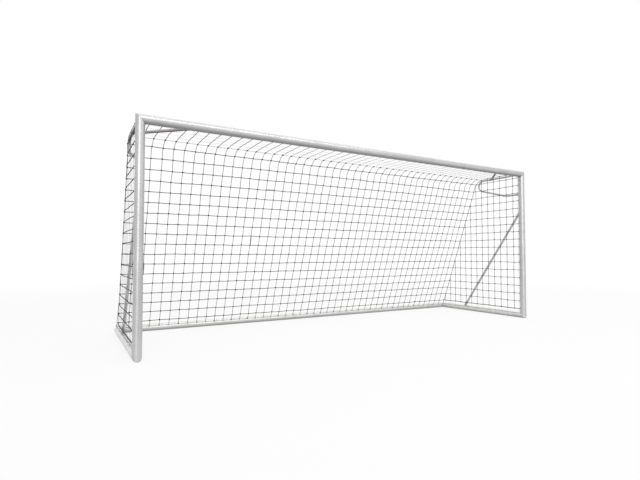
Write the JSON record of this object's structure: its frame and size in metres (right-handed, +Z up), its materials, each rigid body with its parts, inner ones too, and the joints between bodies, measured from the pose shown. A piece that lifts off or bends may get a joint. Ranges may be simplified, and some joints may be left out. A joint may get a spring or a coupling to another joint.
{
  "type": "soccer goal",
  "caption": "Free-standing soccer goal of round aluminium tube with ground frame, net bows, side and corner braces, and a hooked-on cord net.",
  "frame": {"origin": "centre of the footprint at ground level", "axes": "+X along the crossbar to the right as seen from the mouth, +Y from the mouth to the rear ground bar, +Z up"},
  "size_m": [5.16, 1.61, 2.08],
  "materials": {
    "satin_tube": "satin anodised aluminium",
    "thin_tube": "satin aluminium, a little duller",
    "fitting": "welded aluminium sleeve",
    "cast_joint": "cast aluminium",
    "screw": "zinc-plated steel",
    "hook": "light grey moulded plastic",
    "border_cord": "white braided cord",
    "net_cord": "knotted black twine"
  },
  "bodies": {
    "root": {"crossbar": "satin_tube", "rear_ground_bar": "satin_tube", "left_post": "satin_tube", "right_post": "satin_tube", "left_ground_bar": "satin_tube", "right_ground_bar": "satin_tube", "left_top_corner_joint": "cast_joint", "right_top_corner_joint": "cast_joint", "left_foot_corner_joint": "cast_joint", "right_foot_corner_joint": "cast_joint", "left_rear_corner_joint": "cast_joint", "right_rear_corner_joint": "cast_joint", "left_top_joint_screw_1": "screw", "left_top_joint_screw_2": "screw", "right_top_joint_screw_1": "screw", "right_top_joint_screw_2": "screw", "left_foot_joint_screw_1": "screw", "left_foot_joint_screw_2": "screw", "right_foot_joint_screw_1": "screw", "right_foot_joint_screw_2": "screw", "left_rear_joint_screw_1": "screw", "left_rear_joint_screw_2": "screw", "right_rear_joint_screw_1": "screw", "right_rear_joint_screw_2": "screw", "left_net_bow": "thin_tube", "right_net_bow": "thin_tube", "left_side_brace": "thin_tube", "right_side_brace": "thin_tube", "left_corner_brace": "thin_tube", "right_corner_brace": "thin_tube", "left_bow_top_socket": "fitting", "right_bow_top_socket": "fitting", "left_bow_lower_socket": "fitting", "right_bow_lower_socket": "fitting", "left_brace_top_socket": "fitting", "right_brace_top_socket": "fitting", "left_brace_foot_socket": "fitting", "right_brace_foot_socket": "fitting", "left_corner_brace_socket": "fitting", "right_corner_brace_socket": "fitting", "left_brace_clamp": "fitting", "right_brace_clamp": "fitting", "crossbar_net_hooks": "hook", "rear_bar_net_hooks": "hook", "left_post_net_hooks": "hook", "right_post_net_hooks": "hook", "left_bar_net_hooks": "hook", "right_bar_net_hooks": "hook", "border_rope": "border_cord", "left_edge_rope": "net_cord", "right_edge_rope": "net_cord", "net_top": "net_cord", "net_rear": "net_cord", "net_left": "net_cord", "net_right": "net_cord"}
  },
  "joints": []
}
